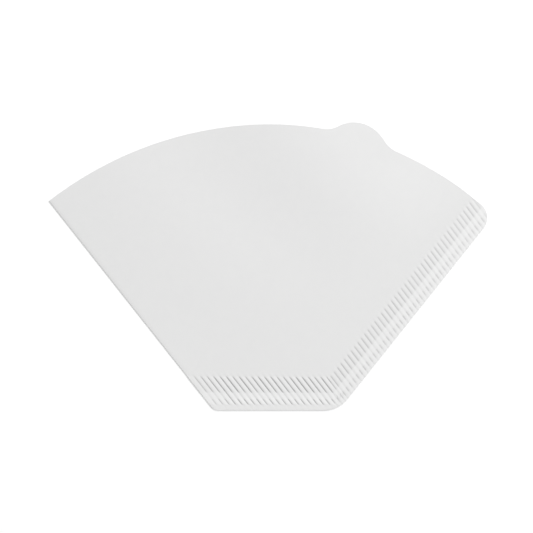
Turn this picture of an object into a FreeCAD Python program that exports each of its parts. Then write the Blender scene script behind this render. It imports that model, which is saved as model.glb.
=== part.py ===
"""Cone coffee filter of crimped paper, lying flat on its back ply.

One sheet, folded once along the left side and crimped along the bottom and the right side.
The sheet is modelled as a fan whose apex is the sketch origin: X to the right, Y up the
filter towards its curved mouth, Z up from the surface it lies on.
"""

import FreeCAD, Part
import math
import os
import Sketcher

# Driving sizes, in millimetres and degrees, with what each one measures
SIZES = (
    ("mouth_radius", 130.0, "from the apex of the fan to the curved mouth edge"),
    ("half_angle", 39.4, "from the middle of the fan to the fold, and to the side edge"),
    ("base_distance", 28.1, "from the apex of the fan to the straight bottom edge"),
    ("fold_corner_radius", 4.0, "bottom corner at the fold"),
    ("seam_corner_radius", 12.0, "bottom corner where the two seams meet"),
    ("mouth_corner_radius", 6.0, "top corner of the side seam"),
    ("tab_angle", 12.9, "from the middle of the fan to the middle of the lifting tab"),
    ("tab_height", 5.3, "of the tab above the mouth edge"),
    ("tab_tip_radius", 13.8, "round tip of the tab"),
    ("tab_blend_radius", 10.0, "hollow on each side of the tab"),
    ("paper_thickness", 0.2, "one ply"),
    ("emboss_height", 0.2, "what the crimping adds to the thickness of the two plies"),
    ("seam_step", 0.05, "how far the crimped seams stand above the plain front ply"),
    ("mouth_rise", 6.2, "how far the front ply springs up in the middle of the mouth"),
    ("bottom_margin", 1.95, "from the bottom edge to its outer row of grooves"),
    ("bottom_outer_row", 2.15, "width of the outer row of the bottom seam"),
    ("bottom_row_gap", 1.95, "between the two rows of the bottom seam"),
    ("bottom_inner_row", 5.7, "width of the inner row of the bottom seam"),
    ("bottom_pitch", 2.32, "from groove to groove along the bottom edge"),
    ("side_margin", 1.33, "from the side edge to its outer row of grooves"),
    ("side_outer_row", 1.9, "width of the outer row of the side seam"),
    ("side_row_gap", 2.27, "between the two rows of the side seam"),
    ("side_inner_row", 4.7, "width of the inner row of the side seam"),
    ("side_pitch", 1.99, "from groove to groove along the side edge"),
    ("pocket_margin", 0.3, "from the inner rows to where the two plies part"),
    ("groove_width", 0.8, "of one crimp groove at the surface"),
    ("groove_depth", 0.26, "of one crimp groove"),
    ("first_groove", 2.75, "from the fold to the first groove, along the bottom edge"),
    ("corner_clearance", 3.2, "from the seams' corner to the outer rows, along each edge"),
    ("mouth_clearance", 3.0, "from the mouth edge to the last groove of the inner side row"),
    ("outer_mouth_clearance", 5.0, "from the mouth edge to the last groove of the outer side row"),
    ("fold_flat", 0.06, "left between the two roundings of the fold"),
)

# How near two places must be to count as one
POINT_TOLERANCE = 1e-6

# Lengths worked out from the driving sizes
SLOPE = "tan(Sizes.half_angle)"
BOTTOM_OUTER_TOP = "(Sizes.base_distance + Sizes.bottom_margin + Sizes.bottom_outer_row)"
BOTTOM_INNER_TOP = f"({BOTTOM_OUTER_TOP} + Sizes.bottom_row_gap + Sizes.bottom_inner_row)"
POCKET_BOTTOM = f"({BOTTOM_INNER_TOP} + Sizes.pocket_margin)"
SIDE_OUTER_DEPTH = "(Sizes.side_margin + Sizes.side_outer_row)"
SIDE_INNER_DEPTH = f"({SIDE_OUTER_DEPTH} + Sizes.side_row_gap + Sizes.side_inner_row)"
POCKET_SIDE = f"({SIDE_INNER_DEPTH} + Sizes.pocket_margin)"
SEAM_HEIGHT = "(2 * Sizes.paper_thickness + Sizes.emboss_height)"
FOLD_RADIUS = f"(({SEAM_HEIGHT} - Sizes.fold_flat) / 2)"
FOLD_WALL = f"({SEAM_HEIGHT} / 2)"

# Overruns: the blank runs past the outline, and cutters past the paper, before they are trimmed
BLANK_START = "(Sizes.base_distance - Sizes.bottom_margin)"
BLANK_END = "(Sizes.mouth_radius + 2 * Sizes.tab_height)"
EDGE_OVERRUN = "Sizes.side_margin"
TRIM_OVERRUN = "Sizes.tab_height"
FOLD_ALLOWANCE = "Sizes.paper_thickness"
PLY_LAP = f"({FOLD_WALL} / 2)"
GROOVE_OVERCUT = "(Sizes.emboss_height / 2)"


def make_sizes(doc):
    """Fills the spreadsheet: a name, a value with that name as its alias, and a meaning."""
    sheet = doc.addObject("Spreadsheet::Sheet", "Sizes")
    for row, (alias, number, meaning) in enumerate(SIZES, start=1):
        sheet.set(f"A{row}", alias)
        sheet.set(f"B{row}", str(number))
        sheet.setAlias(f"B{row}", alias)
        sheet.set(f"C{row}", meaning)
    doc.recompute()
    return sheet


def measure(sheet, expression):
    """Returns the number that an expression on the sizes gives."""
    result = sheet.evalExpression(expression)
    return float(getattr(result, "Value", result))


def add_sketch(body, name, plane_role, rotation_axis=None):
    """Returns a sketch of the body that lies on one of the body's origin planes."""
    sketch = body.newObject("Sketcher::SketchObject", name)
    plane = next(part for part in body.Origin.OriginFeatures if part.Role == plane_role)
    sketch.AttachmentSupport = [(plane, "")]
    sketch.MapMode = "FlatFace"
    if rotation_axis:
        turn = FreeCAD.Rotation(rotation_axis, 1.0)
        sketch.AttachmentOffset = FreeCAD.Placement(FreeCAD.Vector(), turn)
    return sketch


def constrain(sketch, name, expression, sheet, kind, *where):
    """Adds one named size to a sketch and binds it to an expression."""
    number = measure(sheet, expression)
    if kind == "Angle":
        number = math.radians(number)
        expression = f"({expression}) * 1 deg"
    index = sketch.addConstraint(Sketcher.Constraint(kind, *where, number))
    sketch.renameConstraint(index, name)
    sketch.setExpression(f"Constraints.{name}", expression)


def draw_polygon(sheet, sketch, corners):
    """Draws a closed polygon whose corners are each a name, an x and a y expression."""
    points = []
    for name, x_expression, y_expression in corners:
        points.append(
            FreeCAD.Vector(measure(sheet, x_expression), measure(sheet, y_expression), 0)
        )
    for index, point in enumerate(points):
        following = points[(index + 1) % len(points)]
        sketch.addGeometry(Part.LineSegment(point, following))
    place_corners(sheet, sketch, corners)


def place_corners(sheet, sketch, corners):
    """Joins the sides of a closed profile and binds each corner's place."""
    for index, (name, x_expression, y_expression) in enumerate(corners):
        following = (index + 1) % len(corners)
        sketch.addConstraint(Sketcher.Constraint("Coincident", index, 2, following, 1))
        constrain(sketch, f"{name}_x", x_expression, sheet, "DistanceX", -1, 1, index, 1)
        constrain(sketch, f"{name}_y", y_expression, sheet, "DistanceY", -1, 1, index, 1)


def add_blank(sheet, body):
    """Pads the folded and pressed blank: a slab as thick as the crimped seams."""
    sketch = add_sketch(body, "BlankShape", "XY_Plane")
    corners = (
        ("fold_low", f"-{BLANK_START} * {SLOPE}", BLANK_START),
        ("edge_low", f"{BLANK_START} * {SLOPE} + {EDGE_OVERRUN}", BLANK_START),
        ("edge_high", f"{BLANK_END} * {SLOPE} + {EDGE_OVERRUN}", BLANK_END),
        ("fold_high", f"-{BLANK_END} * {SLOPE}", BLANK_END),
    )
    draw_polygon(sheet, sketch, corners)
    pad = body.newObject("PartDesign::Pad", "FoldedBlank")
    pad.Profile = sketch
    pad.setExpression("Length", SEAM_HEIGHT)
    body.Tip = pad
    return pad


def round_fold(doc, body, blank):
    """Rounds the folded side of the blank, above and below."""
    doc.recompute()
    fold_edges = []
    leftmost = min(vertex.X for vertex in blank.Shape.Vertexes)
    for number, edge in enumerate(blank.Shape.Edges, start=1):
        ends = [vertex.Point for vertex in edge.Vertexes]
        reaches_left = min(end.x for end in ends) < leftmost + POINT_TOLERANCE
        level = abs(ends[0].z - ends[1].z) < POINT_TOLERANCE
        slanted = abs(ends[0].y - ends[1].y) > POINT_TOLERANCE
        if reaches_left and level and slanted:
            fold_edges.append(f"Edge{number}")
    fillet = body.newObject("PartDesign::Fillet", "RoundedFold")
    fillet.Base = (blank, fold_edges)
    fillet.setExpression("Radius", FOLD_RADIUS)
    body.Tip = fillet
    return fillet


def open_panel(sheet, body):
    """Clears the slab down to the back ply, from the fold to the seams."""
    sketch = add_sketch(body, "PanelShape", "XY_Plane")
    high = f"({BLANK_END} + {TRIM_OVERRUN})"
    fold_low = f"({FOLD_WALL} / cos(Sizes.half_angle) - {POCKET_BOTTOM} * {SLOPE})"
    fold_high = f"({FOLD_WALL} / cos(Sizes.half_angle) - {high} * {SLOPE})"
    seam_low = f"({POCKET_BOTTOM} * {SLOPE} - {POCKET_SIDE} / cos(Sizes.half_angle))"
    seam_high = f"({high} * {SLOPE} - {POCKET_SIDE} / cos(Sizes.half_angle))"
    corners = (
        ("fold_low", fold_low, POCKET_BOTTOM),
        ("seam_low", seam_low, POCKET_BOTTOM),
        ("seam_high", seam_high, high),
        ("fold_high", fold_high, high),
    )
    draw_polygon(sheet, sketch, corners)
    sketch.setExpression("AttachmentOffset.Base.z", "Sizes.paper_thickness")
    pocket = body.newObject("PartDesign::Pocket", "OpenPanel")
    pocket.Profile = sketch
    pocket.Type = "ThroughAll"
    pocket.Reversed = True
    body.Tip = pocket
    return pocket


def add_ply_section(sheet, body, name, distance, rise):
    """Adds the cross-section of the front ply at a distance from the apex.

    The ply runs a little into the fold and the seam at its two ends. rise is how far its
    middle stands above its ends, or None where it lies flat.
    """
    sketch = add_sketch(body, name, "XZ_Plane")
    fold_x = f"(({FOLD_WALL} - {PLY_LAP}) / cos(Sizes.half_angle) - {distance} * {SLOPE})"
    seam_x = (
        f"({distance} * {SLOPE} - ({POCKET_SIDE} - {PLY_LAP}) / cos(Sizes.half_angle))"
    )
    top = f"({SEAM_HEIGHT} - Sizes.seam_step)"
    underside = f"({top} - Sizes.paper_thickness)"
    corners = (
        ("seam_top", seam_x, top),
        ("fold_top", fold_x, top),
        ("fold_underside", fold_x, underside),
        ("seam_underside", seam_x, underside),
    )
    if rise is None:
        draw_polygon(sheet, sketch, corners)
    else:
        draw_bowed_ply(sheet, sketch, corners, rise)
    sketch.setExpression("AttachmentOffset.Base.z", f"-{distance}")
    return sketch


def draw_bowed_ply(sheet, sketch, corners, rise):
    """Draws the cross-section of a ply that is bowed upwards between its two ends."""
    points = []
    for name, x_expression, z_expression in corners:
        points.append(
            FreeCAD.Vector(measure(sheet, x_expression), measure(sheet, z_expression), 0)
        )
    seam_top, fold_top, fold_underside, seam_underside = points
    lift = FreeCAD.Vector(0, measure(sheet, rise), 0)
    top_crown = (seam_top + fold_top) * 0.5 + lift
    underside_crown = (seam_underside + fold_underside) * 0.5 + lift
    top = sketch.addGeometry(Part.Arc(seam_top, top_crown, fold_top))
    fold_end = sketch.addGeometry(Part.LineSegment(fold_top, fold_underside))
    underside = sketch.addGeometry(Part.Arc(seam_underside, underside_crown, fold_underside))
    seam_end = sketch.addGeometry(Part.LineSegment(seam_underside, seam_top))
    sketch.addConstraint(Sketcher.Constraint("Coincident", top, 2, fold_end, 1))
    sketch.addConstraint(Sketcher.Constraint("Coincident", fold_end, 2, underside, 2))
    sketch.addConstraint(Sketcher.Constraint("Coincident", underside, 1, seam_end, 1))
    sketch.addConstraint(Sketcher.Constraint("Coincident", seam_end, 2, top, 1))
    held = ((top, 1), (top, 2), (underside, 2), (underside, 1))
    for (name, x_expression, z_expression), (piece, end) in zip(corners, held):
        constrain(sketch, f"{name}_x", x_expression, sheet, "DistanceX", -1, 1, piece, end)
        constrain(sketch, f"{name}_y", z_expression, sheet, "DistanceY", -1, 1, piece, end)
    half_span = f"(({corners[0][1]} - {corners[1][1]}) / 2)"
    bow_radius = f"(({half_span}^2 + {rise}^2) / (2 * {rise}))"
    constrain(sketch, "top_radius", bow_radius, sheet, "Radius", top)
    constrain(sketch, "underside_radius", bow_radius, sheet, "Radius", underside)


def add_front_ply(sheet, body):
    """Lofts the front ply over the panel, flat at the bottom seam and bowed at the mouth."""
    start = f"({POCKET_BOTTOM} - {PLY_LAP})"
    rise = f"(Sizes.mouth_rise * ({BLANK_END} - {start}) / (Sizes.mouth_radius - {start}))"
    loft = body.newObject("PartDesign::AdditiveLoft", "FrontPly")
    loft.Profile = add_ply_section(sheet, body, "PlyAtBottomSeam", start, None)
    loft.Sections = [add_ply_section(sheet, body, "PlyBeyondMouth", BLANK_END, rise)]
    loft.Ruled = True
    body.Tip = loft
    return loft


def on_fan(radius, angle):
    """Returns the point at a radius from the apex and an angle from the middle of the fan."""
    turn = math.radians(angle)
    return FreeCAD.Vector(radius * math.sin(turn), radius * math.cos(turn), 0)


def outline_points(size):
    """Works out the centres and the joints of the flat outline from the sizes."""
    mouth = size["mouth_radius"]
    base = size["base_distance"]
    side_along = on_fan(1, size["half_angle"])
    side_outward = FreeCAD.Vector(side_along.y, -side_along.x, 0)
    fold_along = FreeCAD.Vector(-side_along.x, side_along.y, 0)
    fold_inward = FreeCAD.Vector(side_along.y, side_along.x, 0)
    down = FreeCAD.Vector(0, -1, 0)
    point = {}

    radius = size["seam_corner_radius"]
    height = base + radius
    across = (height * side_along.x - radius) / side_along.y
    point["seam_corner"] = FreeCAD.Vector(across, height, 0)
    point["bottom_right"] = point["seam_corner"] + down * radius
    point["side_bottom"] = point["seam_corner"] + side_outward * radius

    radius = size["mouth_corner_radius"]
    along = math.sqrt((mouth - radius) ** 2 - radius**2)
    point["mouth_corner"] = side_along * along - side_outward * radius
    point["side_top"] = point["mouth_corner"] + side_outward * radius
    point["mouth_right"] = point["mouth_corner"] * (mouth / (mouth - radius))

    tip = size["tab_tip_radius"]
    blend = size["tab_blend_radius"]
    tab_distance = mouth + size["tab_height"] - tip
    point["tab"] = on_fan(tab_distance, size["tab_angle"])
    blend_distance = mouth + blend
    cosine = (blend_distance**2 + tab_distance**2 - (tip + blend) ** 2) / (
        2 * blend_distance * tab_distance
    )
    spread = math.degrees(math.acos(cosine))
    for side, angle in (("right", size["tab_angle"] + spread), ("left", size["tab_angle"] - spread)):
        centre = on_fan(blend_distance, angle)
        point[f"blend_{side}"] = centre
        point[f"tab_foot_{side}"] = on_fan(mouth, angle)
        point[f"tab_flank_{side}"] = point["tab"] + (centre - point["tab"]) * (tip / (tip + blend))

    allowance = size["paper_thickness"]
    along = math.sqrt(mouth**2 - allowance**2)
    point["mouth_left"] = fold_along * along - fold_inward * allowance
    radius = size["fold_corner_radius"]
    height = base + radius
    across = (radius - allowance - height * fold_inward.y) / fold_inward.x
    point["fold_corner"] = FreeCAD.Vector(across, height, 0)
    point["fold_bottom"] = point["fold_corner"] - fold_inward * radius
    point["bottom_left"] = point["fold_corner"] + down * radius
    return point


def round_arc(centre, start, end):
    """Returns the counter-clockwise arc about a centre from one point to another."""
    spoke = start - centre
    first = math.atan2(spoke.y, spoke.x)
    spoke_end = end - centre
    last = math.atan2(spoke_end.y, spoke_end.x)
    circle = Part.Circle(centre, FreeCAD.Vector(0, 0, 1), spoke.Length)
    return Part.ArcOfCircle(circle, first, last)


def draw_outline(sheet, sketch, size):
    """Draws the outline of the folded filter, and a guide line along its side edge."""
    point = outline_points(size)
    apex = FreeCAD.Vector()
    line = Part.LineSegment
    shapes = {
        "bottom": line(point["bottom_left"], point["bottom_right"]),
        "seam_corner": round_arc(point["seam_corner"], point["bottom_right"], point["side_bottom"]),
        "side": line(point["side_bottom"], point["side_top"]),
        "mouth_corner": round_arc(point["mouth_corner"], point["side_top"], point["mouth_right"]),
        "mouth_right": round_arc(apex, point["mouth_right"], point["tab_foot_right"]),
        "blend_right": round_arc(
            point["blend_right"], point["tab_flank_right"], point["tab_foot_right"]
        ),
        "tab": round_arc(point["tab"], point["tab_flank_right"], point["tab_flank_left"]),
        "blend_left": round_arc(point["blend_left"], point["tab_foot_left"], point["tab_flank_left"]),
        "mouth_left": round_arc(apex, point["tab_foot_left"], point["mouth_left"]),
        "fold": line(point["mouth_left"], point["fold_bottom"]),
        "fold_corner": round_arc(point["fold_corner"], point["fold_bottom"], point["bottom_left"]),
    }
    number = {name: sketch.addGeometry(shape) for name, shape in shapes.items()}

    # Each joint names the two stretches that meet and which end of each, 1 start or 2 end
    smooth_joints = (
        ("bottom", 2, "seam_corner", 1),
        ("seam_corner", 2, "side", 1),
        ("side", 2, "mouth_corner", 1),
        ("mouth_corner", 2, "mouth_right", 1),
        ("mouth_right", 2, "blend_right", 2),
        ("blend_right", 1, "tab", 1),
        ("tab", 2, "blend_left", 2),
        ("blend_left", 1, "mouth_left", 1),
        ("fold", 2, "fold_corner", 1),
        ("fold_corner", 2, "bottom", 1),
    )
    add = sketch.addConstraint
    for first, first_end, second, second_end in smooth_joints:
        add(Sketcher.Constraint("Tangent", number[first], first_end, number[second], second_end))
    add(Sketcher.Constraint("Coincident", number["mouth_left"], 2, number["fold"], 1))
    add(Sketcher.Constraint("Coincident", number["mouth_right"], 3, -1, 1))
    add(Sketcher.Constraint("Coincident", number["mouth_left"], 3, -1, 1))
    add(Sketcher.Constraint("Equal", number["mouth_right"], number["mouth_left"]))
    add(Sketcher.Constraint("Equal", number["blend_right"], number["blend_left"]))
    add(Sketcher.Constraint("Horizontal", number["bottom"]))
    add(Sketcher.Constraint("PointOnObject", -1, 1, number["side"]))

    guide = sketch.addGeometry(line(apex, point["side_bottom"]), True)
    add(Sketcher.Constraint("Coincident", guide, 1, -1, 1))
    add(Sketcher.Constraint("Coincident", guide, 2, number["side"], 1))

    radii = (
        ("seam_corner", "Sizes.seam_corner_radius"),
        ("mouth_corner", "Sizes.mouth_corner_radius"),
        ("mouth_right", "Sizes.mouth_radius"),
        ("blend_right", "Sizes.tab_blend_radius"),
        ("tab", "Sizes.tab_tip_radius"),
        ("fold_corner", "Sizes.fold_corner_radius"),
    )
    for name, expression in radii:
        constrain(sketch, f"{name}_radius", expression, sheet, "Radius", number[name])
    tab_distance = "(Sizes.mouth_radius + Sizes.tab_height - Sizes.tab_tip_radius)"
    tab_x = f"{tab_distance} * sin(Sizes.tab_angle)"
    tab_y = f"{tab_distance} * cos(Sizes.tab_angle)"
    constrain(sketch, "tab_x", tab_x, sheet, "DistanceX", -1, 1, number["tab"], 3)
    constrain(sketch, "tab_y", tab_y, sheet, "DistanceY", -1, 1, number["tab"], 3)
    constrain(
        sketch, "base", "Sizes.base_distance", sheet, "DistanceY", -1, 1, number["bottom"], 1
    )
    constrain(sketch, "side_slant", "90 - Sizes.half_angle", sheet, "Angle", number["side"])
    constrain(sketch, "fold_slant", "Sizes.half_angle - 90", sheet, "Angle", number["fold"])
    constrain(sketch, "fold_offset", FOLD_ALLOWANCE, sheet, "Distance", -1, 1, number["fold"])


def trim_outline(sheet, body, size):
    """Cuts away all of the blank that lies outside the outline of the filter."""
    sketch = add_sketch(body, "Outline", "XY_Plane")
    half_width = f"({BLANK_END} * {SLOPE} + {EDGE_OVERRUN} + {TRIM_OVERRUN})"
    low = f"({BLANK_START} - {TRIM_OVERRUN})"
    high = f"({BLANK_END} + {TRIM_OVERRUN})"
    frame = (
        ("frame_low_left", f"-{half_width}", low),
        ("frame_low_right", half_width, low),
        ("frame_high_right", half_width, high),
        ("frame_high_left", f"-{half_width}", high),
    )
    draw_polygon(sheet, sketch, frame)
    draw_outline(sheet, sketch, size)
    pocket = body.newObject("PartDesign::Pocket", "TrimmedEdges")
    pocket.Profile = sketch
    pocket.Type = "ThroughAll"
    pocket.SideType = "Symmetric"
    body.Tip = pocket
    return pocket, sketch


class GrooveRow:
    """One row of crimp grooves: where it starts, how far it runs and how long a groove is."""

    def __init__(self, name, start_x, start_y, run, pitch, length, along_side):
        self.name = name
        self.start_x = start_x
        self.start_y = start_y
        self.run = run
        self.pitch = pitch
        self.length = length
        self.along_side = along_side

    def back_start(self):
        """Returns where the row starts on the back ply, half a pitch further on."""
        half = f"{self.pitch} / 2"
        if self.along_side:
            across = f"{half} * sin(Sizes.half_angle)"
            up = f"{half} * cos(Sizes.half_angle)"
            return f"({self.start_x} + {across})", f"({self.start_y} + {up})"
        return f"({self.start_x} + {half})", self.start_y

    def steps(self):
        """Returns how many pitches fit in the run, with the back's half pitch left over."""
        return f"floor({self.run} / {self.pitch} - 0.5)"


def bottom_row(name, top, width, end_x):
    """Returns a row of the bottom seam, whose grooves start at a height and run to end_x."""
    start_x = f"(Sizes.first_groove - {top} * {SLOPE})"
    run = f"({end_x} - {start_x})"
    length = f"({width} / cos(Sizes.half_angle))"
    return GrooveRow(name, start_x, top, run, "Sizes.bottom_pitch", length, False)


def side_row(name, depth, width, first, end):
    """Returns a row of the side seam, from one distance along the side edge to another."""
    start_x = f"({first} * sin(Sizes.half_angle) - {depth} * cos(Sizes.half_angle))"
    start_y = f"({first} * cos(Sizes.half_angle) + {depth} * sin(Sizes.half_angle))"
    run = f"({end} - {first})"
    length = f"({width} / sin(2 * Sizes.half_angle))"
    return GrooveRow(name, start_x, start_y, run, "Sizes.side_pitch", length, True)


def crimp_rows():
    """Returns the four rows of grooves on the front: two on the bottom, two on the side."""
    inner_end = f"({BOTTOM_INNER_TOP} * {SLOPE} - {SIDE_INNER_DEPTH} / cos(Sizes.half_angle))"
    outer_end = f"(Sizes.base_distance * {SLOPE} - Sizes.corner_clearance)"
    bottom_inner = bottom_row("BottomInner", BOTTOM_INNER_TOP, "Sizes.bottom_inner_row", inner_end)
    bottom_outer = bottom_row("BottomOuter", BOTTOM_OUTER_TOP, "Sizes.bottom_outer_row", outer_end)

    # The side rows carry on from the last long groove of the bottom seam, line after line
    last_line = (
        f"(Sizes.first_groove + Sizes.bottom_pitch * floor({bottom_inner.run} / "
        f"Sizes.bottom_pitch))"
    )
    inner_first = f"({line_meets_side(last_line, SIDE_INNER_DEPTH)} + Sizes.side_pitch)"
    outer_line = line_meets_side(last_line, SIDE_OUTER_DEPTH)
    outer_low = "(Sizes.base_distance / cos(Sizes.half_angle) + Sizes.corner_clearance)"
    outer_first = (
        f"({outer_line} + Sizes.side_pitch * ceil(({outer_low} - {outer_line}) / "
        f"Sizes.side_pitch))"
    )
    inner_last = "(Sizes.mouth_radius - Sizes.mouth_clearance)"
    outer_last = "(Sizes.mouth_radius - Sizes.outer_mouth_clearance)"
    side_inner = side_row(
        "SideInner", SIDE_INNER_DEPTH, "Sizes.side_inner_row", inner_first, inner_last
    )
    side_outer = side_row(
        "SideOuter", SIDE_OUTER_DEPTH, "Sizes.side_outer_row", outer_first, outer_last
    )
    return [bottom_inner, bottom_outer, side_inner, side_outer]


def line_meets_side(offset, depth):
    """Returns how far along the side edge a groove line comes to a depth inside it.

    The line runs parallel to the fold, at an offset from it measured along the bottom.
    """
    return (
        f"(({offset} * cos(Sizes.half_angle) + {depth} * cos(2 * Sizes.half_angle)) / "
        f"sin(2 * Sizes.half_angle))"
    )


def draw_groove(sheet, sketch, surface, inward):
    """Draws the vee of one groove, from a little outside a surface into the paper."""
    half_width = (
        f"(Sizes.groove_width / 2 * (Sizes.groove_depth + {GROOVE_OVERCUT}) / "
        f"Sizes.groove_depth)"
    )
    outside = f"({surface} - {inward} * {GROOVE_OVERCUT})"
    root = f"({surface} + {inward} * Sizes.groove_depth)"
    corners = (
        ("near", f"-{half_width}", outside),
        ("far", half_width, outside),
        ("root", "0", root),
    )
    draw_polygon(sheet, sketch, corners)


def cut_groove(sheet, body, row, face, start, surface, inward):
    """Cuts one groove into the front or the back, square to the groove's own line."""
    start_x, start_y = start
    sketch = add_sketch(body, f"{row.name}{face}Vee", "XZ_Plane", FreeCAD.Vector(0, 1, 0))
    draw_groove(sheet, sketch, surface, inward)
    sketch.setExpression("AttachmentOffset.Base.x", start_x)
    sketch.setExpression("AttachmentOffset.Base.z", f"-{start_y}")
    sketch.setExpression("AttachmentOffset.Rotation.Angle", "Sizes.half_angle * 1 deg")
    pocket = body.newObject("PartDesign::Pocket", f"{row.name}{face}Groove")
    pocket.Profile = sketch
    pocket.Type = "Length"
    pocket.Reversed = True
    pocket.setExpression("Length", row.length)
    body.Tip = pocket
    return pocket


def cut_row(sheet, body, outline, row):
    """Cuts a row of grooves: one on each face, then both repeated along the seam."""
    front = cut_groove(sheet, body, row, "Front", (row.start_x, row.start_y), SEAM_HEIGHT, "-1")
    back = cut_groove(sheet, body, row, "Back", row.back_start(), "0", "1")
    pattern = body.newObject("PartDesign::LinearPattern", f"{row.name}Row")
    pattern.Originals = [front, back]
    pattern.Direction = (outline, ["Axis0"] if row.along_side else ["H_Axis"])
    pattern.setExpression("Length", f"{row.pitch} * {row.steps()}")
    pattern.setExpression("Occurrences", f"{row.steps()} + 1")
    body.Tip = pattern
    return [front, back, pattern]


def check_features(doc, added, cuts):
    """Stops where a feature failed, or where one of the cuts took nothing away."""
    for part in doc.Objects:
        failed = {"Invalid", "Error"} & set(part.State)
        if failed:
            raise RuntimeError(f"{part.Name} is {failed}")
    before = added.Shape.Volume
    for feature in cuts:
        if feature.Shape.isNull():
            raise RuntimeError(f"{feature.Name} has no shape")
        if feature.Shape.Volume >= before:
            raise RuntimeError(f"{feature.Name} cuts nothing")
        before = feature.Shape.Volume
        FreeCAD.Console.PrintMessage(f"{feature.Name}: {before:.2f} mm3\n")


def build_filter():
    """Builds the filter in a new document and returns its body."""
    doc = FreeCAD.newDocument("CoffeeFilter")
    sheet = make_sizes(doc)
    size = {alias: measure(sheet, f"Sizes.{alias}") for alias, number, meaning in SIZES}
    body = doc.addObject("PartDesign::Body", "FilterPaper")
    body.Label = "filter_paper"

    blank = add_blank(sheet, body)
    round_fold(doc, body, blank)
    open_panel(sheet, body)
    ply = add_front_ply(sheet, body)
    trimmed, outline = trim_outline(sheet, body, size)
    cuts = [trimmed]
    for row in crimp_rows():
        cuts += cut_row(sheet, body, outline, row)
    doc.recompute()
    check_features(doc, ply, cuts)

    # The origin is the middle of the sheet's footprint, on the surface it lies on
    box = body.Shape.optimalBoundingBox(False, False)
    foot = FreeCAD.Vector(box.Center.x, box.Center.y, box.ZMin)
    body.Placement = FreeCAD.Placement(-foot, FreeCAD.Rotation())
    doc.recompute()
    return body


def export_body(body):
    """Writes the body's shape to the file that its label names."""
    if body.Shape.isNull() or not body.Shape.isValid() or len(body.Shape.Solids) != 1:
        raise RuntimeError(f"{body.Label} is not one valid solid")
    os.makedirs("parts", exist_ok=True)
    body.Shape.exportStep(f"parts/{body.Label}.step")


export_body(build_filter())
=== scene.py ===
"""Cone coffee filter of crimped white paper, lying on a pale floor.

The filter is one sheet: a fan of two leaves, folded along its left side and crimped along the
bottom and the right side. It is built as one grid that follows the flat sheet, is folded over,
crimped, bowed open at the mouth and given the thickness of the paper.

Sizes are in millimetres and degrees, and become metres where a mesh is made.
"""

import logging
import math
import random
from dataclasses import dataclass, field
from enum import Enum, IntEnum

import bmesh
import bpy
from mathutils import Matrix, Vector


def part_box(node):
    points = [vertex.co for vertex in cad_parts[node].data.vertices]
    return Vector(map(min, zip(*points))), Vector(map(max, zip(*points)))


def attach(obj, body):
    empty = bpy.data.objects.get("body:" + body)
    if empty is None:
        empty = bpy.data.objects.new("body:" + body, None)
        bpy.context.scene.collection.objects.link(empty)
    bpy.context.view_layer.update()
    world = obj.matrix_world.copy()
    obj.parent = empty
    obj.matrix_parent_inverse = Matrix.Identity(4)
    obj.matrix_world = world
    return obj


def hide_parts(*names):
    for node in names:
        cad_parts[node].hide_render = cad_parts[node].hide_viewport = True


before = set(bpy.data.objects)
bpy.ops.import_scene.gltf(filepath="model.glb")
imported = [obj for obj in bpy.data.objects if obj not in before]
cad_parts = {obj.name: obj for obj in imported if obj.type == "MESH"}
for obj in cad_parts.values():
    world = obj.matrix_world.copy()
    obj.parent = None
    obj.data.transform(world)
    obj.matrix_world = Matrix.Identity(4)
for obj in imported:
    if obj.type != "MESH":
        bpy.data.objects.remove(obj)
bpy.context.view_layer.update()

LOG = logging.getLogger("filter")
MM = 0.001
PAPER_NODE = "filter_paper"
# Vertex attribute of painted shade: the greyed places and the dark lines painted in the grooves.
PAINTED_SHADE_ATTRIBUTE = "crease"

# The share of a pitch at which the ridge between two grooves lies.
RIDGE = 0.5

# The colour sockets of a Mix node, which has others of the same names.
MIX_FACTOR = 0
MIX_FIRST = 6
MIX_SECOND = 7
MIX_RESULT = 2


class Leaf(Enum):
    """The two leaves of the folded sheet."""

    BACK = "back"
    FRONT = "front"


class Band(IntEnum):
    """The bands of a crimped seam, from the edge inwards, and the panel beyond them."""

    MARGIN = 0
    OUTER_ROW = 1
    GAP = 2
    INNER_ROW = 3
    PANEL = 4


@dataclass(frozen=True)
class Press:
    """How hard the paper is pressed at a place, in shares of the most.

    relief is the height of the embossing, and crease how sharply the paper is pressed into a
    crease in the grooves, which also sets the painted shade laid in them. The last field is
    painted shade that greys the whole place.
    """

    relief: float
    crease: float
    tone: float


@dataclass(frozen=True)
class Column:
    """A column of one leaf, parallel to the fold.

    across is its distance from the fold line, line the number of the groove line that it
    belongs to, from the fold, and share how far it is across that line's pitch.
    """

    across: float
    line: int
    share: float


@dataclass(frozen=True)
class GridColumn:
    """A column of the flat sheet.

    turn is its turn round the fold, in radians from the fold's outermost line, and None on
    a leaf.
    """

    leaf: Leaf
    column: Column
    turn: float | None = None


def ease(low: float, high: float, value: float) -> float:
    """Blends smoothly from 0 to 1.

    Args:
        low: The value at and below which the blend is 0.
        high: The value at and above which it is 1.
        value: The value to look up.

    Returns:
        The share, from 0 to 1.
    """
    share = min(max((value - low) / (high - low), 0.0), 1.0)
    return share * share * (3.0 - 2.0 * share)


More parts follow.
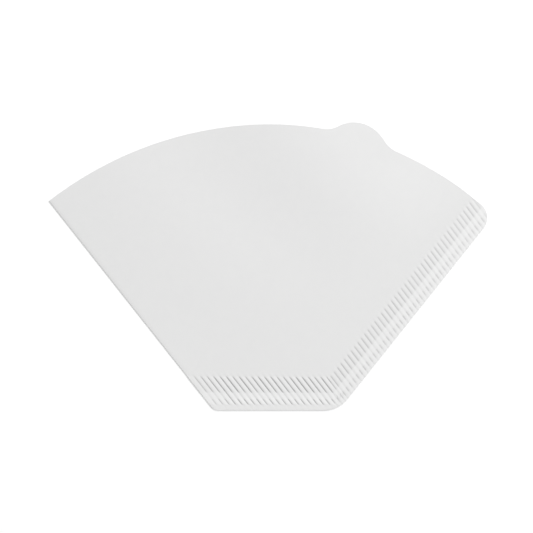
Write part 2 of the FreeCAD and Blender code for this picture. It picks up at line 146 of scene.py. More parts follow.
@dataclass
class FanOutline:
    """Outline of the folded filter: a fan with its apex at the origin and y up its middle.

    Columns of the sheet run parallel to the fold. A place on one is given by across, its
    distance from the fold line, and along, its distance up the fold from the apex. The
    tab's angle is from the middle of the fan. column_lean is how far the ends of the columns
    lean over under the tab, and lean_spread how far from the tab they still do.
    """

    mouth_radius: float = 130.0
    half_angle: float = 39.4
    base_distance: float = 28.1
    fold_corner_radius: float = 4.0
    seam_corner_radius: float = 12.0
    mouth_corner_radius: float = 6.0
    tab_angle: float = 12.9
    tab_height: float = 5.3
    tab_tip_radius: float = 13.8
    tab_blend_radius: float = 10.0
    column_lean: float = 4.5
    lean_spread: float = 16.0

    def __post_init__(self) -> None:
        """Works out the directions and the corner centres from the sizes."""
        turn = math.radians(self.half_angle)
        self.sine, self.cosine = math.sin(turn), math.cos(turn)
        self.fan_sine, self.fan_cosine = math.sin(2 * turn), math.cos(2 * turn)
        self.across_axis = Vector((self.cosine, self.sine))
        self.along_axis = Vector((-self.sine, self.cosine))
        self.side_outward = Vector((self.cosine, -self.sine))
        self.side_along = Vector((self.sine, self.cosine))

        radius = self.seam_corner_radius
        height = self.base_distance + radius
        self.seam_corner = self.columns(
            Vector(((height * self.sine - radius) / self.cosine, height))
        )
        radius = self.fold_corner_radius
        height = self.base_distance + radius
        self.fold_corner = self.columns(
            Vector(((radius - height * self.sine) / self.cosine, height))
        )
        radius = self.mouth_corner_radius
        reach = math.sqrt((self.mouth_radius - radius) ** 2 - radius**2)
        corner = self.side_along * reach - self.side_outward * radius
        self.mouth_corner = self.columns(corner)
        self.last_across = self.mouth_corner.x + radius
        self.rounded_from = self.columns(corner * (self.mouth_radius / corner.length)).x

    def columns(self, place: Vector) -> Vector:
        """Returns the (across, along) of a place."""
        return Vector((place.dot(self.across_axis), place.dot(self.along_axis)))

    def place(self, across: float, along: float) -> Vector:
        """Returns the place at an across and an along."""
        return self.across_axis * across + self.along_axis * along

    def bottom_depth(self, place: Vector) -> float:
        """Returns how far inside the bottom edge a place is."""
        return place.y - self.base_distance

    def side_depth(self, place: Vector) -> float:
        """Returns how far inside the side edge a place is."""
        return -place.dot(self.side_outward)

    def above_edges(self, across: float, bottom_depth: float, side_depth: float) -> float:
        """Finds where a column leaves a band that follows the bottom and the side edge.

        Args:
            across: The column's distance from the fold line.
            bottom_depth: How far inside the bottom edge the band ends.
            side_depth: How far inside the side edge it ends.

        Returns:
            The along of that place.
        """
        bottom = (self.base_distance + bottom_depth - across * self.sine) / self.cosine
        side = (across * self.fan_cosine + side_depth) / self.fan_sine
        return max(bottom, side)

    def lower_end(self, across: float) -> float:
        """Finds where a column starts, on the bottom or the side edge.

        Args:
            across: The column's distance from the fold line.

        Returns:
            The along of that place.
        """
        corners = (
            (self.fold_corner, self.fold_corner_radius, -1.0, -self.sine),
            (self.seam_corner, self.seam_corner_radius, -self.sine, self.fan_cosine),
            (self.mouth_corner, self.mouth_corner_radius, self.fan_cosine, 1.0),
        )
        for centre, radius, first, last in corners:
            offset = across - centre.x
            if first * radius <= offset <= last * radius:
                return centre.y - math.sqrt(radius**2 - offset**2)
        return self.above_edges(across, 0.0, 0.0)

    def rim_radius(self, angle: float) -> float:
        """Finds how far from the apex the mouth edge is, tab and all.

        Args:
            angle: Radians from the middle of the fan, positive to the right.

        Returns:
            The distance from the apex.
        """
        mouth, tip, blend = self.mouth_radius, self.tab_tip_radius, self.tab_blend_radius
        tab_distance = mouth + self.tab_height - tip
        blend_distance = mouth + blend
        spread = math.acos(
            (blend_distance**2 + tab_distance**2 - (tip + blend) ** 2)
            / (2 * blend_distance * tab_distance)
        )
        turn = abs(angle - math.radians(self.tab_angle))
        blend_across = blend_distance * math.sin(spread)
        blend_up = blend_distance * math.cos(spread) - tab_distance
        share = tip / (tip + blend)
        flank = math.atan2(blend_across * share, tab_distance + blend_up * share)
        if turn >= spread:
            return mouth
        if turn <= flank:
            return tab_distance * math.cos(turn) + math.sqrt(
                tip**2 - (tab_distance * math.sin(turn)) ** 2
            )
        return blend_distance * math.cos(spread - turn) - math.sqrt(
            blend**2 - (blend_distance * math.sin(spread - turn)) ** 2
        )

    def upper_end(self, across: float) -> Vector:
        """Finds where a column ends, on the mouth edge.

        Columns lean over under the tab, whose right flank is nearly parallel to them.

        Args:
            across: The column's distance from the fold line.

        Returns:
            The place of its end.
        """
        if across > self.rounded_from:
            offset = across - self.mouth_corner.x
            rise = math.sqrt(max(self.mouth_corner_radius**2 - offset**2, 0.0))
            return self.place(across, self.mouth_corner.y + rise)
        angle = math.asin(across / self.mouth_radius) - math.radians(self.half_angle)
        from_tab = (angle - math.radians(self.tab_angle)) / math.radians(self.lean_spread)
        angle += math.radians(self.column_lean) * max(1.0 - from_tab**2, 0.0) ** 2
        return Vector((math.sin(angle), math.cos(angle))) * self.rim_radius(angle)


@dataclass
class CrimpedSeam:
    """One crimped seam: two rows of pressed grooves along an edge, on a band of both plies.

    widths are those of its four bands, in the order of Band. pitch is from groove to groove
    along the edge. relief, crease and the painted shade are what Press says, for each band.
    The panel has a painted shade of its own, which greys it so that the seams look lighter,
    and row_end is the share of a band over which one blends into the next.
    """

    widths: tuple[float, ...]
    pitch: float
    relief: tuple[float, ...]
    crease: tuple[float, ...]
    tone: tuple[float, ...]
    panel_painted_shade: float = 0.083
    row_end: float = 0.12

    def stops(self) -> list[float]:
        """Lists the depths at which the bands start and end.

        Returns:
            The depths inside the edge, from 0 to the end of the inner row.
        """
        ends = [0.0]
        for width in self.widths:
            ends.append(ends[-1] + width)
        return ends

    def width(self) -> float:
        """Returns how wide the whole seam is."""
        return self.stops()[-1]

    def level(self, depth: float) -> float:
        """Says in which band a depth lies.

        Args:
            depth: How far inside the edge a place is.

        Returns:
            The band's number and the share of its width, as one figure. In the panel it
            grows by 1 for each millimetre.
        """
        ends = self.stops()
        for number, (low, high) in enumerate(zip(ends, ends[1:])):
            if depth < high:
                return number + (depth - low) / (high - low)
        return len(ends) - 1 + depth - ends[-1]

    def blend(self, shares: tuple[float, ...], level: float, panel: float = 0.0) -> float:
        """Blends the bands' shares at a level.

        Args:
            shares: One share for each band.
            level: The level, as level() gives it.
            panel: The share of the panel.

        Returns:
            The share there.
        """
        total = shares[0]
        for number, (share, following) in enumerate(zip(shares, (*shares[1:], panel)), 1):
            step = ease(number - self.row_end, number + self.row_end, level)
            total += (following - share) * step
        return total


@dataclass
class Crimping:
    """The crimping of both seams, whose grooves all run parallel to the fold.

    first_groove is along the bottom edge, and first_side_step from the last groove of the
    bottom to the first of the side. Walls and falls are the shares of a pitch at which the
    paper has risen from a groove and starts to fall to the next one, where it is pressed
    softly and where it is pressed crisply. The painted shade line of a groove lies at a
    given share of a pitch, with a given width. joined_groove runs through the gap between
    the rows. The grooves fade near the bottom corner and the mouth, and fold_fade weakens
    those nearest to the fold. ripple is what is left of them just beyond the inner rows.
    crossing is the place of the painted shade of dents where the rows of the two seams
    cross, as its depths inside the two edges; these dents are painted, not shaped.
    """

    outline: FanOutline
    bottom: CrimpedSeam = field(
        default_factory=lambda: CrimpedSeam(
            widths=(1.95, 1.95, 2.4, 5.45),
            pitch=2.32,
            relief=(0.1, 0.9, 0.6, 1.0),
            crease=(0.0, 0.75, 0.06, 0.95),
            tone=(0.06, 0.0, 0.01, 0.08),
        )
    )
    side: CrimpedSeam = field(
        default_factory=lambda: CrimpedSeam(
            widths=(1.33, 1.9, 2.27, 4.7),
            pitch=1.99,
            relief=(0.4, 0.7, 0.45, 0.75),
            crease=(0.08, 0.42, 0.04, 0.5),
            tone=(0.02, 0.06, 0.02, 0.12),
        )
    )
    first_groove: float = 2.46
    first_side_step: float = 1.28
    joined_groove: int = 3
    soft_wall: float = 0.32
    crisp_wall: float = 0.2
    soft_fall: float = 0.36
    crisp_fall: float = 0.68
    # Where in a pitch the painted shade line of a groove lies, and how wide it is.
    shade_line_place: float = 0.07
    shade_line_width: float = 0.19
    corner_clearance: float = 2.2
    corner_fade: float = 2.0
    mouth_clearance: float = 0.5
    unevenness: float = 0.3
    mouth_fade: float = 0.55
    ripple: float = 0.35
    ripple_reach: float = 1.9
    # Painted shade of dents where the rows of the two seams cross; the dents are not shaped.
    crossing: tuple[float, float] = (5.0, 3.0)
    crossing_radius: float = 1.5
    crossing_pitch: float = 0.8
    dent_shade_strength: float = 0.6
    fold_fade: tuple[float, ...] = (0.5, 0.7, 0.85)
    seed: int = 7

    def __post_init__(self) -> None:
        """Lays out the groove lines from the fold to the far end of the side seam."""
        outline = self.outline
        across_step = self.bottom.pitch * outline.cosine
        lines = [self.first_groove * outline.cosine]
        corner = self.inner_corner()
        while lines[-1] + across_step <= corner:
            lines.append(lines[-1] + across_step)
        lines.append(lines[-1] + self.first_side_step)
        side_step = self.side.pitch * outline.fan_sine
        while lines[-1] + side_step < outline.last_across:
            lines.append(lines[-1] + side_step)
        self.lines = lines
        draws = random.Random(self.seed)
        self.strengths = [
            [1.0 - self.unevenness * draws.random() for _ in ("edge end", "panel end")]
            for _ in lines
        ]
        for number, fade in enumerate(self.fold_fade):
            self.strengths[number] = [strength * fade for strength in self.strengths[number]]

    def inner_corner(self) -> float:
        """Finds the corner of the panel, where the inner rows of the two seams meet.

        Returns:
            Its distance from the fold line.
        """
        outline = self.outline
        height = outline.base_distance + self.bottom.width()
        reach = (height * outline.sine - self.side.width()) / outline.cosine
        return outline.columns(Vector((reach, height))).x

    def nearest_seam(self, place: Vector) -> tuple[CrimpedSeam, float]:
        """Finds the seam that a place belongs to.

        Args:
            place: The place on the folded filter.

        Returns:
            The seam whose edge is the fewest bands away, and the place's level in it.
        """
        bottom_level = self.bottom.level(self.outline.bottom_depth(place))
        side_level = self.side.level(self.outline.side_depth(place))
        if bottom_level < side_level:
            return self.bottom, bottom_level
        return self.side, side_level

    def press_at(self, place: Vector, line: int) -> Press:
        """Finds how hard the paper is pressed at a place.

        Args:
            place: The place on the folded filter.
            line: The number of the groove line that it belongs to.

        Returns:
            The press there.
        """
        seam, level = self.nearest_seam(place)
        relief = seam.blend(seam.relief, level)
        crease = seam.blend(seam.crease, level)
        # Painted shade: each band's greying, blending into the panel's.
        tone = seam.blend(seam.tone, level, seam.panel_painted_shade)
        if line == self.joined_groove and Band.GAP <= level <= Band.INNER_ROW:
            crease = max(crease, seam.crease[Band.OUTER_ROW])
        if level > Band.PANEL:
            beyond = ease(0.0, self.ripple_reach, level - Band.PANEL)
            relief = max(relief, seam.relief[Band.INNER_ROW] * self.ripple * (1.0 - beyond))

        from_corner = self.corner_distance(place)
        crease *= ease(
            self.corner_clearance, self.corner_clearance + self.corner_fade, from_corner
        )
        crease *= 1.0 - self.mouth_fade * (place.length / self.outline.mouth_radius) ** 2
        edge_end, panel_end = self.strengths[line]
        strength = edge_end + (panel_end - edge_end) * min(level / Band.PANEL, 1.0)
        from_mouth = self.outline.mouth_radius - place.length
        strength *= ease(self.mouth_clearance / 2, self.mouth_clearance, from_mouth)
        # Painted shade of the dents where the rows cross.
        tone = max(tone, self.painted_dent_shade(place))
        return Press(relief * strength, crease * strength, tone)

    def painted_dent_shade(self, place: Vector) -> float:
        """Finds the painted shade of the dents where the two seams' rows cross.

        Args:
            place: The place on the folded filter.

        Returns:
            The painted shade there, as a share of the most.
        """
        outline = self.outline
        depths = Vector((outline.bottom_depth(place), outline.side_depth(place)))
        away = (depths - Vector(self.crossing)).length
        near = 1.0 - ease(self.crossing_radius / 2, self.crossing_radius, away)
        turns = outline.columns(place) * (2 * math.pi / self.crossing_pitch)
        return self.dent_shade_strength * near * max(math.cos(turns.x) * math.cos(turns.y), 0.0)

    def corner_distance(self, place: Vector) -> float:
        """Finds how far a place is from the sharp corner that the two seams' edges would make.

        Args:
            place: The place on the folded filter.

        Returns:
            The distance.
        """
        outline = self.outline
        height = outline.base_distance
        corner = Vector((height * outline.sine / outline.cosine, height))
        return (place - corner).length

    def groove_profile(self, share: float, crease: float) -> float:
        """Gives the height of the pressed paper across one pitch.

        Args:
            share: How far across the pitch, from 0 in one groove to 1 in the next.
            crease: How sharply the paper is pressed into a crease there.

        Returns:
            0 in the groove and 1 on the ridge between two grooves.
        """
        wall = self.soft_wall + (self.crisp_wall - self.soft_wall) * crease
        fall = self.soft_fall + (self.crisp_fall - self.soft_fall) * crease
        return ease(0.0, wall, share) * (1.0 - ease(fall, 1.0, share))

    def shade_line_profile(self, share: float) -> float:
        """Returns the painted shade line at a share of the pitch: 1 on it, 0 away."""
        offset = abs((share - self.shade_line_place + 0.5) % 1.0 - 0.5)
        return 1.0 - ease(0.0, self.shade_line_width, offset)


@dataclass
class FilterSheet:
    """The folded, crimped and bowed sheet.

    Its front ply is bowed up by mouth_rise in the middle of the mouth and has soft waves
    that run parallel to the fold. wave_crest is how far from the fold their crest is, and
    wave_bow the bow at which they have their full depth. pocket_margin is how far beyond the
    seams the bow starts. Beside the fold the front ply sinks by fold_fall, over fold_reach.

    The stops say where the grid has its lines: those of the columns are shares of the way
    to the next groove, those of the rows shares of a band's width, and those of the ramp
    distances beyond the inner rows.
    """

    outline: FanOutline
    crimping: Crimping
    paper_thickness: float = 0.2
    emboss_height: float = 0.24
    front_edge_height: float = 0.43
    mouth_rise: float = 6.2
    rise_power: float = 1.4
    pocket_margin: float = 0.3
    fold_fall: float = 0.1
    fold_reach: float = 1.6
    bend_steps: int = 8
    wave_depth: float = 2.2
    wave_length: float = 70.0
    wave_crest: float = 82.8
    wave_bow: float = 4.0
    column_stops: tuple[float, ...] = (0.0, 0.06, 0.12, 0.2, 0.32, 0.5, 0.68, 0.82, 0.92)
    fold_stops: tuple[float, ...] = (0.16, 0.3, 0.45, 0.62, 0.75, 0.88)
    corner_stops: tuple[float, ...] = (0.5, 0.75, 0.9, 0.98, 1.0)
    row_stops: tuple[tuple[float, ...], ...] = (
        (0.45, 0.88, 1.0),
        (0.12, 0.3, 0.5, 0.7, 0.88, 1.0),
        (0.12, 0.5, 0.88, 1.0),
        (0.06, 0.12, 0.3, 0.5, 0.7, 0.88, 0.94, 1.0),
    )
    ramp_stops: tuple[float, ...] = (0.3, 0.6, 1.0, 1.5, 2.1)
    panel_rows: int = 10
    merge_distance: float = 0.004
    sharp_angle: float = 50.0

    def __post_init__(self) -> None:
        """Places the fan in the row frame and sets the levels of the back ply.

        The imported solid's own box gives the place. half_paper is the height of the ply's
        middle where it lies flat, and seam_level that in the seams.
        """
        low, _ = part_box(PAPER_NODE)
        reach = self.outline.mouth_radius * self.outline.sine * MM
        self.apex = Vector((low.x + reach, low.y - self.outline.base_distance * MM, low.z))
        self.half_paper = self.paper_thickness / 2
        self.seam_level = self.paper_thickness

    def leaf_columns(self) -> list[Column]:
        """Lists the columns of one leaf, outwards from the fold.

        Returns:
            The columns, without those of the fold's bend.
        """
        lines = self.crimping.lines
        last, final = self.outline.last_across, len(lines) - 1
        columns = [
            Column(lines[0] * stop, 0, self.fold_share(lines[0] * (1 - stop)))
            for stop in self.fold_stops
        ]
        for number, (line, following) in enumerate(zip(lines, lines[1:])):
            step = following - line
            columns += [Column(line + step * stop, number, stop) for stop in self.column_stops]
        columns.append(Column(lines[-1], final, 0.0))
        for stop in self.corner_stops:
            beyond = (last - lines[-1]) * stop
            columns.append(Column(lines[-1] + beyond, final, self.groove_share(beyond)))
        return columns

    def fold_share(self, before: float) -> float:
        """Returns the share of a bottom pitch at a distance before the first groove."""
        step = self.crimping.bottom.pitch * self.outline.cosine
        return max(1.0 - before / step, RIDGE)

    def groove_share(self, beyond: float) -> float:
        """Returns how far across a side pitch a distance beyond a groove line is."""
        step = self.crimping.side.pitch * self.outline.fan_sine
        return min(beyond / step, 1.0)

    def band_depths(self) -> list[tuple[float, float]]:
        """Lists the depths at which the rows along the seams lie.

        Returns:
            For each row its depth inside the bottom edge and inside the side edge.
        """
        depths = [(0.0, 0.0)]
        bottom_stops = self.crimping.bottom.stops()
        side_stops = self.crimping.side.stops()
        for number, shares in enumerate(self.row_stops):
            for share in shares:
                depths.append(
                    tuple(
                        stops[number] + (stops[number + 1] - stops[number]) * share
                        for stops in (bottom_stops, side_stops)
                    )
                )
        for beyond in self.ramp_stops:
            depths.append((bottom_stops[-1] + beyond, side_stops[-1] + beyond))
        return depths

    def column_places(self, across: float) -> list[Vector]:
        """Lists the places of one column, from the seam's edge to the mouth edge.

        Args:
            across: The column's distance from the fold line.

        Returns:
            The places, as many for every column. Rows that would lie outside the sheet
            are drawn in to its edge.
        """
        outline = self.outline
        start = outline.lower_end(across)
        end_place = outline.upper_end(across)
        end = max(outline.columns(end_place).y, start)
        alongs = []
        for bottom_depth, side_depth in self.band_depths():
            level = outline.above_edges(across, bottom_depth, side_depth)
            alongs.append(min(max(level, start), end))
        alongs[0] = start
        places = [outline.place(across, along) for along in alongs]
        last_place = places[-1]
        for step in range(1, self.panel_rows + 1):
            places.append(last_place.lerp(end_place, step / self.panel_rows))
        return places

    def bow(self, place: Vector) -> float:
        """Finds how far the front ply springs up at a place.

        Args:
            place: The place on the folded filter.

        Returns:
            The rise, 0 on the seams and on the fold.
        """
        outline = self.outline
        slope = outline.sine / outline.cosine
        start = outline.base_distance + self.crimping.bottom.width() + self.pocket_margin
        inset = self.crimping.side.width() + self.pocket_margin
        left = -place.y * slope
        right = place.y * slope - inset / outline.cosine
        if place.y <= start or place.x >= right or place.x <= left:
            return 0.0
        reach = (place.x - (left + right) / 2) / ((right - left) / 2)
        share = (place.y - start) / (outline.mouth_radius - start)
        return self.mouth_rise * share**self.rise_power * (1 - reach**2)

    def front_height(self, place: Vector) -> float:
        """Finds the height of the free front ply at a place.

        Args:
            place: The place on the folded filter.

        Returns:
            The height of its middle: the bow, less the troughs of soft waves that run
            parallel to the fold and deepen away from it, and less its fall to the fold.
        """
        bow = self.bow(place)
        across = self.outline.columns(place).x
        phase = 2 * math.pi * (across - self.wave_crest) / self.wave_length
        growth = across / self.outline.last_across
        trough = self.wave_depth * growth * (1 - math.cos(phase)) / 2
        trough *= ease(0.0, self.wave_bow, bow)
        fall = self.fold_fall * max(1.0 - across / self.fold_reach, 0.0) ** 2
        return self.front_edge_height + bow - trough - fall

    def heights(self, place: Vector, column: Column) -> tuple[float, float, float]:
        """Finds the heights of the two plies at a place.

        Args:
            place: The place on the folded filter.
            column: The column that it is on.

        Returns:
            The height of the middle of the back ply, of the middle of the front ply, and
            the painted shade just there: the greyed place and the line painted in a groove.
        """
        crimping = self.crimping
        press = crimping.press_at(place, column.line)
        _, level = crimping.nearest_seam(place)
        panel = ease(Band.PANEL, Band.PANEL + 2 * self.pocket_margin, level)
        profile = crimping.groove_profile(column.share, press.crease) - 0.5
        groove = profile * press.relief * self.emboss_height
        seam_back = self.seam_level + groove
        seam_front = seam_back + self.paper_thickness
        panel_front = self.front_height(place) + groove
        back = seam_back + (self.half_paper - seam_back) * panel
        front = seam_front + (panel_front - seam_front) * panel
        # Painted shade: a dark line painted along the groove, over the greying of the place.
        crease = press.crease * crimping.shade_line_profile(column.share)
        return back, front, press.tone + (1.0 - press.tone) * crease

    def grid_columns(self) -> list[GridColumn]:
        """Lists every column of the flat sheet, from the back's far end to the front's.

        Returns:
            The columns, with those of the fold's bend between the two leaves.
        """
        outward = self.leaf_columns()
        fold_line = Column(self.half_paper, 0, self.fold_share(self.crimping.lines[0]))
        columns = [GridColumn(Leaf.BACK, column) for column in reversed(outward)]
        for step in range(self.bend_steps + 1):
            turn = math.pi * (step / self.bend_steps - 0.5)
            leaf = Leaf.FRONT if turn > 0 else Leaf.BACK
            columns.append(GridColumn(leaf, fold_line, turn))
        columns += [GridColumn(Leaf.FRONT, column) for column in outward]
        return columns

    def build(self) -> bpy.types.Object:
        """Builds the whole sheet as one mesh.

        Returns:
            The finished object, in the row frame.
        """
        entries = self.grid_columns()
        places = {
            entry.column.across: self.column_places(entry.column.across) for entry in entries
        }
        rows = len(self.column_places(self.half_paper))
        mesh = bpy.data.meshes.new("folded_sheet")
        sheet = bmesh.new()
        half_grid = 0.5
        bmesh.ops.create_grid(
            sheet, x_segments=len(entries) - 1, y_segments=rows - 1, size=half_grid
        )
        # Each vertex carries its painted shade for the material.
        painted_shade_layer = sheet.verts.layers.float.new(PAINTED_SHADE_ATTRIBUTE)
        for vertex in sheet.verts:
            entry = entries[round((vertex.co.x + half_grid) * (len(entries) - 1))]
            row = round((vertex.co.y + half_grid) * (rows - 1))
            place = places[entry.column.across][row]
            back, front, crease = self.heights(place, entry.column)
            vertex[painted_shade_layer] = crease
            height = front if entry.leaf is Leaf.FRONT else back
            if entry.turn is not None:
                radius = (front - back) / 2
                outwards = radius * (1 - math.cos(entry.turn))
                place = place + self.outline.across_axis * outwards
                height = (front + back) / 2 + radius * math.sin(entry.turn)
            vertex.co = self.apex + Vector((place.x, place.y, height)) * MM
        bmesh.ops.remove_doubles(sheet, verts=sheet.verts, dist=self.merge_distance * MM)
        for face in sheet.faces:
            face.smooth = True
        sheet.to_mesh(mesh)
        sheet.free()
        flat = bpy.data.objects.new("folded_sheet", mesh)
        bpy.context.scene.collection.objects.link(flat)
        return self.thicken(flat)

    def thicken(self, flat: bpy.types.Object) -> bpy.types.Object:
        """Gives the folded sheet the thickness of the paper.

        Args:
            flat: The sheet, as a surface in the middle of the paper.

        Returns:
            The same object, as a closed shell.
        """
        solidify = flat.modifiers.new("paper", "SOLIDIFY")
        solidify.thickness = self.paper_thickness * MM
        solidify.offset = 0.0
        depsgraph = bpy.context.evaluated_depsgraph_get()
        shell = bpy.data.meshes.new_from_object(flat.evaluated_get(depsgraph))
        shell.name = "filter_sheet"
        flat.modifiers.clear()
        flat.data = shell
        flat.name = "filter_sheet"
        shell.set_sharp_from_angle(angle=math.radians(self.sharp_angle))
        return flat


def new_material(name: str) -> tuple[bpy.types.Material, bpy.types.NodeTree]:
    """Makes an empty node material.

    Args:
        name: The material's name.

    Returns:
        The material and its node tree, with no nodes.
    """
    material = bpy.data.materials.new(name)
    material.use_nodes = True
    material.node_tree.nodes.clear()
    return material, material.node_tree


def add_node(tree: bpy.types.NodeTree, kind: str, **values: object) -> bpy.types.Node:
    """Adds a node and sets its properties.

    Args:
        tree: The node tree.
        kind: The node's type name.
        values: Properties of the node by name.

    Returns:
        The node.
    """
    node = tree.nodes.new(kind)
    for name, value in values.items():
        setattr(node, name, value)
    return node


@dataclass(frozen=True)
class FibreGrain:
    """The look of pressed fibres: cloudy patches and short fibres, as a shader group."""

    cloud_size: float = 3.5
    cloud_detail: float = 4.0
    cloud_warp: float = 0.6
    fibre_size: float = 0.45
    fibre_detail: float = 6.0
    fibre_warp: float = 2.2

    def build(self) -> bpy.types.NodeTree:
        """Builds the group.

        Returns:
            The group, with a Vector input and the outputs Cloud and Fibre, from 0 to 1.
        """
        group = bpy.data.node_groups.new("FibreGrain", "ShaderNodeTree")
        group.interface.new_socket("Vector", in_out="INPUT", socket_type="NodeSocketVector")
        group.interface.new_socket("Cloud", in_out="OUTPUT", socket_type="NodeSocketFloat")
        group.interface.new_socket("Fibre", in_out="OUTPUT", socket_type="NodeSocketFloat")
        entry = add_node(group, "NodeGroupInput")
        result = add_node(group, "NodeGroupOutput")
        for output, size, detail, warp in (
            ("Cloud", self.cloud_size, self.cloud_detail, self.cloud_warp),
            ("Fibre", self.fibre_size, self.fibre_detail, self.fibre_warp),
        ):
            noise = add_node(group, "ShaderNodeTexNoise")
            noise.inputs["Scale"].default_value = 1 / (size * MM)
            noise.inputs["Detail"].default_value = detail
            noise.inputs["Distortion"].default_value = warp
            group.links.new(entry.outputs["Vector"], noise.inputs["Vector"])
            group.links.new(noise.outputs["Fac"], result.inputs[output])
        return group


@dataclass(frozen=True)
class PaperFinish:
    """White filter paper: matt, cloudy by a hair, and greyed with painted shade."""

    white: tuple[float, float, float] = (0.84, 0.84, 0.838)
    thick_cloud: tuple[float, float, float] = (0.832, 0.832, 0.831)
    cloud_range: tuple[float, float] = (0.35, 0.65)
    # The grey of the painted shade in the grooves and in the greyed places.
    painted_shade_grey: tuple[float, float, float] = (0.36, 0.36, 0.36)
    roughness: float = 0.9
    specular: float = 0.25
    fibre_depth: float = 0.006
    fibre_strength: float = 0.35

    def build(self, grain: bpy.types.NodeTree) -> bpy.types.Material:
        """Builds the material.

        Args:
            grain: The fibre group.

        Returns:
            The material.
        """
        material, tree = new_material("FilterPaper")
        link = tree.links.new
        place = add_node(tree, "ShaderNodeTexCoord")
        fibres = add_node(tree, "ShaderNodeGroup", node_tree=grain)
        link(place.outputs["Object"], fibres.inputs["Vector"])

        clouds = add_node(tree, "ShaderNodeValToRGB")
        colours = (self.thick_cloud, self.white)
        for stop, position, colour in zip(clouds.color_ramp.elements, self.cloud_range, colours):
            stop.position = position
            stop.color = (*colour, 1)
        link(fibres.outputs["Cloud"], clouds.inputs["Fac"])

        # Painted shade: the vertex attribute mixes the paper towards the shade grey.
        crease = add_node(tree, "ShaderNodeAttribute", attribute_name=PAINTED_SHADE_ATTRIBUTE)
        painted_shade_grey = add_node(tree, "ShaderNodeMix", data_type="RGBA")
        link(crease.outputs["Fac"], painted_shade_grey.inputs[MIX_FACTOR])
        link(clouds.outputs["Color"], painted_shade_grey.inputs[MIX_FIRST])
        painted_shade_grey.inputs[MIX_SECOND].default_value = (*self.painted_shade_grey, 1)

        bump = add_node(tree, "ShaderNodeBump")
        bump.inputs["Strength"].default_value = self.fibre_strength
        bump.inputs["Distance"].default_value = self.fibre_depth * MM
        link(fibres.outputs["Fibre"], bump.inputs["Height"])

        shader = add_node(tree, "ShaderNodeBsdfPrincipled")
        shader.inputs["Roughness"].default_value = self.roughness
        shader.inputs["Specular IOR Level"].default_value = self.specular
        link(painted_shade_grey.outputs[MIX_RESULT], shader.inputs["Base Color"])
        link(bump.outputs["Normal"], shader.inputs["Normal"])
        output = add_node(tree, "ShaderNodeOutputMaterial")
        link(shader.outputs["BSDF"], output.inputs["Surface"])
        return material


def seen_directly(tree: bpy.types.NodeTree) -> bpy.types.NodeSocket:
    """Adds a mask of the rays that show a background.

    Args:
        tree: The node tree.

    Returns:
        A socket that is 1 for camera, glossy and transmission rays, else 0.
    """
    path = add_node(tree, "ShaderNodeLightPath")
    mask = path.outputs["Is Camera Ray"]
    for name in ("Is Glossy Ray", "Is Transmission Ray"):
        either = add_node(tree, "ShaderNodeMath", operation="MAXIMUM")
        tree.links.new(mask, either.inputs[0])
        tree.links.new(path.outputs[name], either.inputs[1])
        mask = either.outputs["Value"]
    return mask


@dataclass(frozen=True)
class FloorFinish:
    """Pale matt floor, lifted to white where the camera sees it, that keeps its shadows."""

    colour: tuple[float, float, float] = (0.8, 0.8, 0.8)
    lift: float = 0.27

    def build(self) -> bpy.types.Material:
        """Builds the material.

        Returns:
            The material.
        """
        material, tree = new_material("PaleFloor")
        link = tree.links.new
        matt = add_node(tree, "ShaderNodeBsdfDiffuse")
        matt.inputs["Color"].default_value = (*self.colour, 1)
        glow = add_node(tree, "ShaderNodeEmission")
        strength = add_node(tree, "ShaderNodeMath", operation="MULTIPLY")
        strength.inputs[1].default_value = self.lift
        link(seen_directly(tree), strength.inputs[0])
        link(strength.outputs["Value"], glow.inputs["Strength"])
        both = add_node(tree, "ShaderNodeAddShader")
        link(matt.outputs["BSDF"], both.inputs[0])
        link(glow.outputs["Emission"], both.inputs[1])
        output = add_node(tree, "ShaderNodeOutputMaterial")
        link(both.outputs["Shader"], output.inputs["Surface"])
        return material


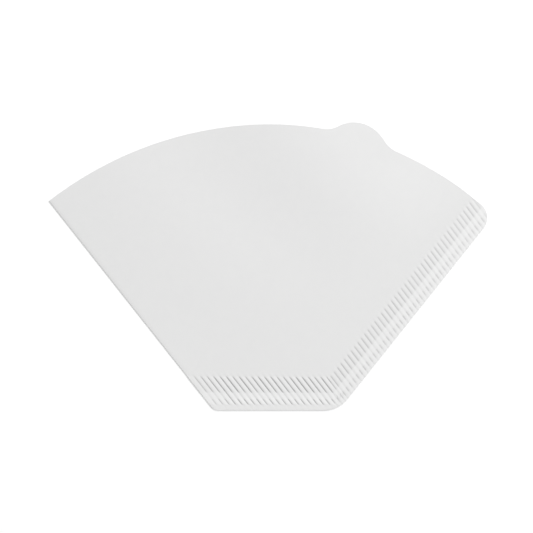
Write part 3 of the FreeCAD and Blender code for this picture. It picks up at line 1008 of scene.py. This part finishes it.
@dataclass
class Studio:
    """Pale floor, soft plain light and the camera.

    The floor and the key light are given in metres and watts. yaw, pitch and roll turn the
    camera, and offset is its place from the apex of the fan, in its own axes.
    """

    floor_size: float = 4.0
    sky_light: float = 0.56
    key_light: float = 9.8
    key_size: float = 0.7
    key_distance: float = 1.2
    key_heading: float = 74.0
    key_height: float = 46.0
    focal_pixels: float = 1500.0
    frame_pixels: float = 533.0
    sensor: float = 36.0
    yaw: float = 13.57
    pitch: float = -2.56
    roll: float = -0.69
    offset: tuple[float, float, float] = (-3.22, 79.47, 536.3)

    def add_floor(self) -> bpy.types.Object:
        """Lays the floor under the part.

        Returns:
            The floor.
        """
        mesh = bpy.data.meshes.new("floor")
        plate = bmesh.new()
        bmesh.ops.create_grid(plate, x_segments=1, y_segments=1, size=self.floor_size / 2)
        plate.to_mesh(mesh)
        plate.free()
        mesh.materials.append(FloorFinish().build())
        floor = bpy.data.objects.new("floor", mesh)
        bpy.context.scene.collection.objects.link(floor)
        return floor

    def add_key(self) -> None:
        """Adds the soft key light."""
        lamp = bpy.data.lights.new("key", "AREA")
        lamp.energy = self.key_light
        lamp.size = self.key_size
        key = bpy.data.objects.new("key", lamp)
        heading, height = math.radians(self.key_heading), math.radians(self.key_height)
        towards = Vector(
            (
                math.cos(heading) * math.cos(height),
                math.sin(heading) * math.cos(height),
                math.sin(height),
            )
        )
        key.location = towards * self.key_distance
        key.rotation_euler = towards.to_track_quat("Z", "Y").to_euler()
        key.visible_camera = False
        bpy.context.scene.collection.objects.link(key)

    def add_room(self) -> None:
        """Adds the even light of the room, which shows as white behind everything."""
        world = bpy.data.worlds.new("room")
        world.use_nodes = True
        tree = world.node_tree
        tree.nodes.clear()
        room = add_node(tree, "ShaderNodeBackground")
        room.inputs["Strength"].default_value = self.sky_light
        backdrop = add_node(tree, "ShaderNodeBackground")
        for node in (room, backdrop):
            node.inputs["Color"].default_value = (1, 1, 1, 1)
        choice = add_node(tree, "ShaderNodeMixShader")
        tree.links.new(seen_directly(tree), choice.inputs["Fac"])
        tree.links.new(room.outputs["Background"], choice.inputs[1])
        tree.links.new(backdrop.outputs["Background"], choice.inputs[2])
        output = add_node(tree, "ShaderNodeOutputWorld")
        tree.links.new(choice.outputs["Shader"], output.inputs["Surface"])
        bpy.context.scene.world = world

    def add_camera(self, apex: Vector) -> None:
        """Sets the camera over the filter.

        Args:
            apex: The apex of the fan, in the row frame.
        """
        turn = (
            Matrix.Rotation(math.radians(self.roll), 3, "Z")
            @ Matrix.Rotation(math.radians(self.pitch), 3, "X")
            @ Matrix.Rotation(math.radians(self.yaw), 3, "Y")
        )
        lens = bpy.data.cameras.new("camera")
        lens.sensor_width = self.sensor
        lens.lens = self.sensor * self.focal_pixels / self.frame_pixels
        camera = bpy.data.objects.new("camera", lens)
        place = apex + turn.transposed() @ Vector(self.offset) * MM
        camera.matrix_world = Matrix.LocRotScale(place, turn.transposed().to_quaternion(), None)
        bpy.context.scene.collection.objects.link(camera)
        bpy.context.scene.camera = camera


def main() -> None:
    """Builds the filter, dresses it and sets the stage."""
    logging.basicConfig(level=logging.INFO, format="%(message)s")
    outline = FanOutline()
    sheet = FilterSheet(outline, Crimping(outline))
    paper = sheet.build()
    paper.data.materials.clear()
    paper.data.materials.append(PaperFinish().build(FibreGrain().build()))
    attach(paper, "root")
    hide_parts(PAPER_NODE)
    LOG.info("%s: %d faces", paper.name, len(paper.data.polygons))

    studio = Studio()
    studio.add_floor()
    studio.add_key()
    studio.add_room()
    studio.add_camera(sheet.apex)
    bpy.context.scene.view_settings.view_transform = "Standard"
    LOG.info("stage: floor, key light, room light and camera")


if __name__ == "__main__":
    main()
